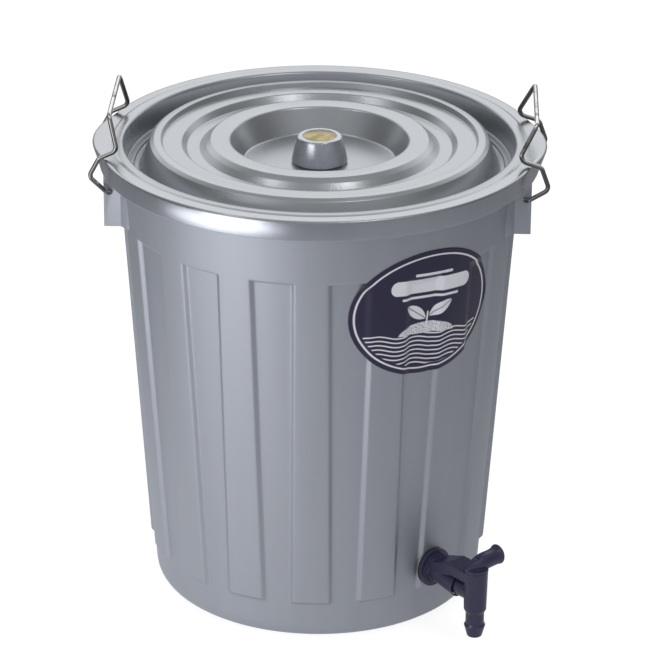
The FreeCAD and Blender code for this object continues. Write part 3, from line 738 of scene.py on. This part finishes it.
def makeHandle(side):
    # one half from the end of the wire to its grip, then the same on the other side
    pin, knee, shoulder, inner, grip = wire["right" if side > 0 else "left"]
    leg = wire["legSpan"] / 2
    reaches = [(pin, wire["pinEnd"]), (pin, leg), (knee, leg), (shoulder, leg), (inner, leg),
               (grip, wire["gripSpan"] / 2)]
    half = [(Vector((side * spot[0], y, spot[1])), wire["bend"]) for spot, y in reaches]
    corners = half + [(Vector((p.x, -p.y, p.z)), bend) for p, bend in reversed(half)]
    name = "handleRight" if side > 0 else "handleLeft"
    return swept(name, roundedLine(corners, wire["bendSteps"]), wire["radius"], wireSteel)


keep(makeHandle(1), "right_handle", ["handle_right"])
keep(makeHandle(-1), "left_handle", ["handle_left"])
print("handles made")


# Label

label = {"azimuth": 35.6, "height": 327.1, "halfWidth": 77.6, "halfHeight": 60.3, "tilt": -4.6,
         "lift": 0.45, "edgeLift": 0.12, "reference": 177.0, "bridge": 9.0, "settle": 0.6, "rings": 70,
         "around": 320}

# the print in millimetres from the middle of the oval: slabs are centre, half sizes and corner,
# ellipses centre and half sizes, leaves centre, half length, half width and angle
sticker = {"border": (0.0, 0.0, 72.4, 55.2), "borderLine": 0.75, "margin": 3.0, "soft": 0.35,
           "title": (0.0, 26.0, 42.0, 7.0, 6.8), "under": (0.0, 14.6, 30.0, 1.2, 1.1),
           "over": (0.0, 37.4, 20.0, 1.3, 1.2), "stem": (0.0, -8.0, 0.9, 8.0, 0.8),
           "mound": (0.0, -22.0, 30.0, 12.0), "moundFoot": 21.0,
           "speckle": 0.9, "speckleEdges": (0.5, 0.62), "speckleShare": 0.7,
           "leftLeaf": (-12.5, 0.0, 13.0, 5.4, 148.0), "rightLeaf": (12.5, 2.0, 13.0, 5.4, 32.0),
           "vein": 0.35, "waveTurn": 0.16, "waveHeight": 1.6, "layerPitch": 2.1, "layerLine": 0.62,
           "groundTop": -19.0,
           "ink": (0.019, 0.016, 0.050), "inkPale": (0.034, 0.031, 0.078), "white": (0.93, 0.92, 1.0),
           "tintScale": 40.0, "tintSpread": 0.3, "tintMean": 0.15, "wearScale": 300.0, "wearGloss": 0.12,
           "wearDepth": 0.02, "whiteGloss": 0.04, "roughness": 0.32}


def labelLook():
    # dark blue oval with a white inner line, a title bar, earth layers and a sprig
    f = Finish(bpy.data.materials.new("labelPrint"))
    x, y, z = f.parts(f.place())
    azimuth = f.maths("ARCTAN2", x, y * -1.0)
    across = (azimuth - math.radians(label["azimuth"])) * label["reference"]
    up = z / mm - label["height"]
    turn = math.radians(label["tilt"])
    u = across * math.cos(turn) + up * math.sin(turn)
    v = up * math.cos(turn) - across * math.sin(turn)

    def inside(value, edge=0.0):
        # 1 where value is below the edge
        return 1.0 - f.step(value, edge - sticker["soft"], edge + sticker["soft"])

    def ellipse(cx, cy, a, b):
        # roughly the distance outside an ellipse
        px = (u - cx) / a
        py = (v - cy) / b
        return ((px * px + py * py) ** 0.5 - 1.0) * min(a, b)

    def leaf(cx, cy, length, width, angle):
        # two arcs back to back, and the distance from the vein between them
        c, s = math.cos(math.radians(angle)), math.sin(math.radians(angle))
        p = (u - cx) * c + (v - cy) * s
        q = abs((v - cy) * c - (u - cx) * s)
        radius = (length ** 2 + width ** 2) / (2 * width)
        drop = radius - width
        return ((p * p + (q + drop) * (q + drop)) ** 0.5) - radius, q

    def slab(cx, cy, a, b, corner):
        # distance outside a box with round ends
        dx = f.maths("MAXIMUM", abs(u - cx) - (a - corner), 0.0)
        dy = f.maths("MAXIMUM", abs(v - cy) - (b - corner), 0.0)
        return (dx * dx + dy * dy) ** 0.5 - corner

    border = ellipse(*sticker["border"])
    ring = inside(abs(border), sticker["borderLine"])
    field = inside(border, -sticker["margin"])
    bars = [inside(slab(*sticker[name])) for name in ("title", "under", "over", "stem")]
    level = v + f.maths("SINE", u * sticker["waveTurn"]) * sticker["waveHeight"]
    layers = inside(f.maths("PINGPONG", level, sticker["layerPitch"]), sticker["layerLine"])
    ground = inside(level, sticker["groundTop"]) * layers
    mound = inside(ellipse(*sticker["mound"])) * inside(0.0 - v, sticker["moundFoot"])
    speckle = f.step(f.noise(f.join(u, v, 0.0), sticker["speckle"], 2.0), *sticker["speckleEdges"])
    picture = ground * (1.0 - mound) + mound * (1.0 - speckle * sticker["speckleShare"])
    for bar in bars:
        picture = picture + bar
    for name in ("leftLeaf", "rightLeaf"):
        blade, vein = leaf(*sticker[name])
        picture = picture + inside(blade) * (1.0 - inside(vein, sticker["vein"]))
    white = f.maths("MINIMUM", ring + field * picture, 1.0)
    tint = f.noise(f.place(), sticker["tintScale"], 3.0) - 0.5
    ink = f.mix(tint * sticker["tintSpread"] + sticker["tintMean"], sticker["ink"], sticker["inkPale"])
    colour = f.mix(white, ink, sticker["white"])
    wear = f.noise(f.place(), sticker["wearScale"], 3.0)
    roughness = sticker["roughness"] + wear * sticker["wearGloss"] - white * sticker["whiteGloss"]
    return f.finished(f.surface("ShaderNodeBsdfPrincipled", Base_Color=colour, Roughness=roughness,
                                Normal=f.relief(wear * sticker["wearDepth"])))


def labelRadius(offset, height):
    # the sticker is taut where it steps down from a rib into a panel
    half = panelWidth(height) / 2
    past = max(abs(offset) - half, height - tub["panelHigh"])
    side = smooth((past + label["bridge"]) / (label["bridge"] + label["settle"]))
    drop = tub["panelDepth"] * (1 - side)
    return max(ribRadius(height) - drop, wallRadius(offset, height)) + label["lift"]


def makeLabel():
    # rings of points from the middle of the oval to its edge, laid on the ribbed wall
    middle = math.radians(label["azimuth"])
    turn = math.radians(label["tilt"])
    pitch = 2 * math.pi / tub["panels"]
    rings = [(k / label["rings"], 0.0) for k in range(label["rings"] + 1)]
    rings += [(1.0, label["edgeLift"] - label["lift"])]
    rows = []
    for share, lift in rings:
        row = []
        for k in range(label["around"]):
            angle = 2 * math.pi * k / label["around"]
            u = label["halfWidth"] * share * math.cos(angle)
            v = label["halfHeight"] * share * math.sin(angle)
            height = label["height"] + u * math.sin(turn) + v * math.cos(turn)
            azimuth = middle + (u * math.cos(turn) - v * math.sin(turn)) / label["reference"]
            local = (azimuth % pitch) - pitch / 2
            radius = labelRadius(local * ribRadius(height), height) + lift
            row.append((radius * math.sin(azimuth), -radius * math.cos(azimuth), height))
        rows.append(row)
    return grid("label", rows, labelLook())


keep(makeLabel(), "bin", ["label"])
print("label made")


# Tap: its solids with every edge softened like moulded plastic

tap = {"voxel": 0.33, "weld": 0.002, "smoothing": 0.5, "rounds": 3, "keep": 0.35}


def softened(name, node):
    # a copy of the solid remade in small cells, smoothed and thinned out
    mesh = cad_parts[node].data.copy()
    welded = bmesh.new()
    welded.from_mesh(mesh)
    bmesh.ops.remove_doubles(welded, verts=welded.verts, dist=tap["weld"] * mm)
    welded.to_mesh(mesh)
    welded.free()
    mesh.materials.clear()
    made = bpy.data.objects.new(name, mesh)
    bpy.context.scene.collection.objects.link(made)
    remesh = made.modifiers.new("remesh", "REMESH")
    remesh.mode = "VOXEL"
    remesh.voxel_size = tap["voxel"] * mm
    smoother = made.modifiers.new("smooth", "SMOOTH")
    smoother.factor = tap["smoothing"]
    smoother.iterations = tap["rounds"]
    fewer = made.modifiers.new("fewer", "DECIMATE")
    fewer.ratio = tap["keep"]
    withModifiers(made)
    made.data.polygons.foreach_set("use_smooth", [True] * len(made.data.polygons))
    made.data.materials.append(tapPlastic)
    return made


keep(softened("tapBody", "tap_body"), "bin", ["tap_body"])
keep(softened("tapLever", "tap_lever"), "tap_valve", ["tap_lever"])
print("tap made")


# Net on the drain plate

net = {"radius": 150.6, "bottom": 88.0, "thickness": 0.9, "pitch": 1.6, "hem": 4.0, "hemRise": 0.4,
       "round": 0.3, "hemRound": 0.2, "rings": (120.0, 90.0, 60.0, 30.0, 0.0), "around": 160,
       "sag": 0.6, "sagScale": 30.0, "threadEdges": (0.6, 0.95), "threadDepth": 0.3,
       "gap": (0.012, 0.012, 0.012), "thread": (0.11, 0.11, 0.105), "roughness": 0.7}


def netLook():
    # plain weave of fine black thread, with painted shade in the gaps between the threads
    f = Finish(bpy.data.materials.new("netWeave"))
    x, y, z = f.parts(f.place())
    sag = f.noise(f.place(), net["sagScale"], 2.0) * (net["sag"] * mm)
    turn = math.pi / (net["pitch"] * mm)
    warp = abs(f.maths("SINE", (x + sag) * turn))
    weft = abs(f.maths("SINE", (y + sag) * turn))
    thread = f.maths("MAXIMUM", warp, weft)
    # painted shade: the gaps between the threads are near black
    colour = f.mix(f.step(thread, *net["threadEdges"]), net["gap"], net["thread"])
    return f.finished(f.surface("ShaderNodeBsdfPrincipled", Base_Color=colour, Roughness=net["roughness"],
                                Normal=f.relief(thread * net["threadDepth"])))


def makeNet():
    # a thin sheet with a hem round its edge
    low = net["bottom"]
    top = low + net["thickness"]
    edge = net["radius"]
    inner = top - net["hemRise"]
    corners = [(0.0, low), (edge, low, net["round"]), (edge, top, net["round"]),
               (edge - net["hem"], top, net["round"]),
               (edge - net["hem"] - net["hemRise"], inner, net["hemRound"])]
    corners += [(r, inner) for r in net["rings"]]
    return turned("net", corners, netLook(), net["around"])


keep(makeNet(), "drain", ["filter_net"])
print("net made")


# CAD pieces that keep their shape

nodeLooks = {
    "knob_bolt": platedSteel, "knob_washer": platedSteel, "knob_nut": platedSteel, "lever_screw": tapPlastic,
    "plug_clip": platedSteel, "tap_outer_washer": rubber, "tap_inner_washer": rubber, "plug_seals": rubber,
    "tap_back_nut": tapPlastic, "tap_plug": plugPlastic, "drain_plate": platePlastic,
    "plate_legs": platePlastic}
for name, look in nodeLooks.items():
    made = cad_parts[name]
    for place in made.material_slots:
        place.material = look
print("CAD pieces painted")


# Studio

studio = {
    "floorRadius": 14.0, "floorColour": (0.35, 0.35, 0.35), "floorRoughness": 0.85, "floorSides": 96,
    "grain": 400.0, "grainDepth": 0.02,
    "seen": 0.84, "mirrored": 0.07, "near": 0.42, "nearLeft": 0.38, "nearStart": 0.45, "nearEnd": 0.9,
    "cardGlow": 3.0, "cardDistance": 1.15, "cardDepth": 0.38, "cardAzimuth": -46.0, "cardTurn": 36.0,
    "cardSoft": 0.45,
    "sky": (0.97, 0.985, 1.0), "front": 0.36, "frontEdges": (0.0, 0.7), "sides": 0.16,
    "behind": 1.1, "behindEdges": (0.25, 0.8), "horizonEdges": (0.02, 0.35),
    "above": 0.18, "aboveEdges": (0.4, 0.95)}

# the fill lights the label but leaves no mirrored patch on the bin
lamps = [
    {"name": "key", "at": (-0.82, -1.02, 0.38), "aim": (-0.1, 0.0, 0.38), "size": (0.7, 0.75),
     "power": 4.0, "colour": (0.97, 0.98, 1.0), "mirrored": True},
    {"name": "highLeft", "at": (-1.36, -0.66, 2.7), "aim": (0.0, 0.0, 0.4), "size": (0.7, 0.6),
     "power": 3.4, "colour": (0.95, 0.96, 1.0), "mirrored": True},
    {"name": "highRight", "at": (0.86, -0.96, 2.85), "aim": (0.0, 0.0, 0.4), "size": (0.7, 0.6),
     "power": 4.8, "colour": (1.0, 1.0, 1.0), "mirrored": True},
    {"name": "fill", "at": (1.0, -1.3, 0.75), "aim": (0.1, -0.1, 0.3), "size": (0.8, 0.8),
     "power": 4.6, "colour": (1.0, 1.0, 1.0), "mirrored": False}]

# lens and place found from the outlines of rim and base; angles in radians
view = {"distance": 3.0, "height": 1.57398, "pitch": 0.4181, "pan": 0.0043, "roll": -0.0074,
        "turn": math.radians(2.05), "lens": 3535.5 / 665 * 36, "sensor": 36, "far": 60}


def floorLook():
    # pale paper that the camera sees as white, with the shadow left in; it also glows in reflections, a
    # painted reflection that is brighter near the bin, more so on the left, and brightest on a card patch at
    # the left front
    f = Finish(bpy.data.materials.new("paper"))
    x, y, z = f.parts(f.place())
    grain = f.noise(f.place(), studio["grain"], 2.0)
    rays = f.node("ShaderNodeLightPath").socket.node.outputs
    reflected = Signal(f, rays["Is Glossy Ray"]) + Signal(f, rays["Is Transmission Ray"])
    distance = (x * x + y * y) ** 0.5
    azimuth = f.maths("ARCTAN2", x, y * -1.0)
    deep = (distance - studio["cardDistance"]) / studio["cardDepth"]
    wide = (azimuth - math.radians(studio["cardAzimuth"])) / math.radians(studio["cardTurn"])
    away = (deep * deep + wide * wide) ** 0.5
    # painted reflection: a glowing patch on the floor at the left front, seen only in reflections, that
    # stands in for a softbox
    cardGlow = (1.0 - f.step(away, 1.0 - studio["cardSoft"], 1.0)) * studio["cardGlow"]
    # painted reflection: the floor near the bin is brighter in reflections, more so on the left
    near = (1.0 - f.step(distance, studio["nearStart"], studio["nearEnd"])) * studio["near"]
    near = near * (1.0 - x / f.maths("MAXIMUM", distance, 0.01) * studio["nearLeft"])
    seen = Signal(f, rays["Is Camera Ray"]) * studio["seen"]
    glow = seen + reflected * (cardGlow + near + studio["mirrored"])
    return f.finished(f.surface("ShaderNodeBsdfPrincipled", Base_Color=studio["floorColour"],
                                Roughness=studio["floorRoughness"], Emission_Strength=1.0,
                                Emission_Color=f.join(glow, glow, glow),
                                Normal=f.relief(grain * studio["grainDepth"])))


def makeFloor():
    count = studio["floorSides"]
    made = piece("floor", circle(studio["floorRadius"] / mm, 0.0, count), [tuple(range(count))], floorLook())
    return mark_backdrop(made)


def makeWorld():
    # dim in front, dimmer at the sides and bright behind the bin
    world = bpy.data.worlds.new("studio")
    f = Finish(world)
    x, y, z = f.parts(f.place("Generated"))
    behind = f.step(y, *studio["behindEdges"]) * f.step(z, *studio["horizonEdges"]) * studio["behind"]
    above = f.step(z, *studio["aboveEdges"]) * studio["above"]
    front = f.step(0.0 - y, *studio["frontEdges"]) * (studio["front"] - studio["sides"])
    strength = behind + above + front + studio["sides"]
    f.finished(f.surface("ShaderNodeBackground", Color=studio["sky"], Strength=strength),
               "ShaderNodeOutputWorld")
    bpy.context.scene.world = world


def makeLamps():
    for plan in lamps:
        lamp = bpy.data.lights.new(plan["name"], "AREA")
        lamp.shape = "RECTANGLE"
        lamp.size, lamp.size_y = plan["size"]
        lamp.energy = plan["power"]
        lamp.color = plan["colour"]
        made = bpy.data.objects.new(plan["name"], lamp)
        heading = Vector(plan["aim"]) - Vector(plan["at"])
        made.location = plan["at"]
        made.rotation_euler = heading.to_track_quat("-Z", "Y").to_euler()
        made.visible_camera = False
        made.visible_glossy = plan["mirrored"]
        bpy.context.scene.collection.objects.link(made)


def makeCamera():
    camera = bpy.data.cameras.new("camera")
    camera.sensor_width = view["sensor"]
    camera.lens = view["lens"]
    camera.clip_end = view["far"]
    made = bpy.data.objects.new("camera", camera)
    bpy.context.scene.collection.objects.link(made)
    made.matrix_world = (Matrix.Rotation(view["turn"], 4, "Z")
                         @ Matrix.Translation((0, -view["distance"], view["height"]))
                         @ Matrix.Rotation(-view["pan"], 4, "Z")
                         @ Matrix.Rotation(math.pi / 2 - view["pitch"], 4, "X")
                         @ Matrix.Rotation(-view["roll"], 4, "Z"))
    bpy.context.scene.camera = made


makeFloor()
makeWorld()
makeLamps()
makeCamera()
bpy.context.scene.view_settings.view_transform = "Standard"
print("studio made")
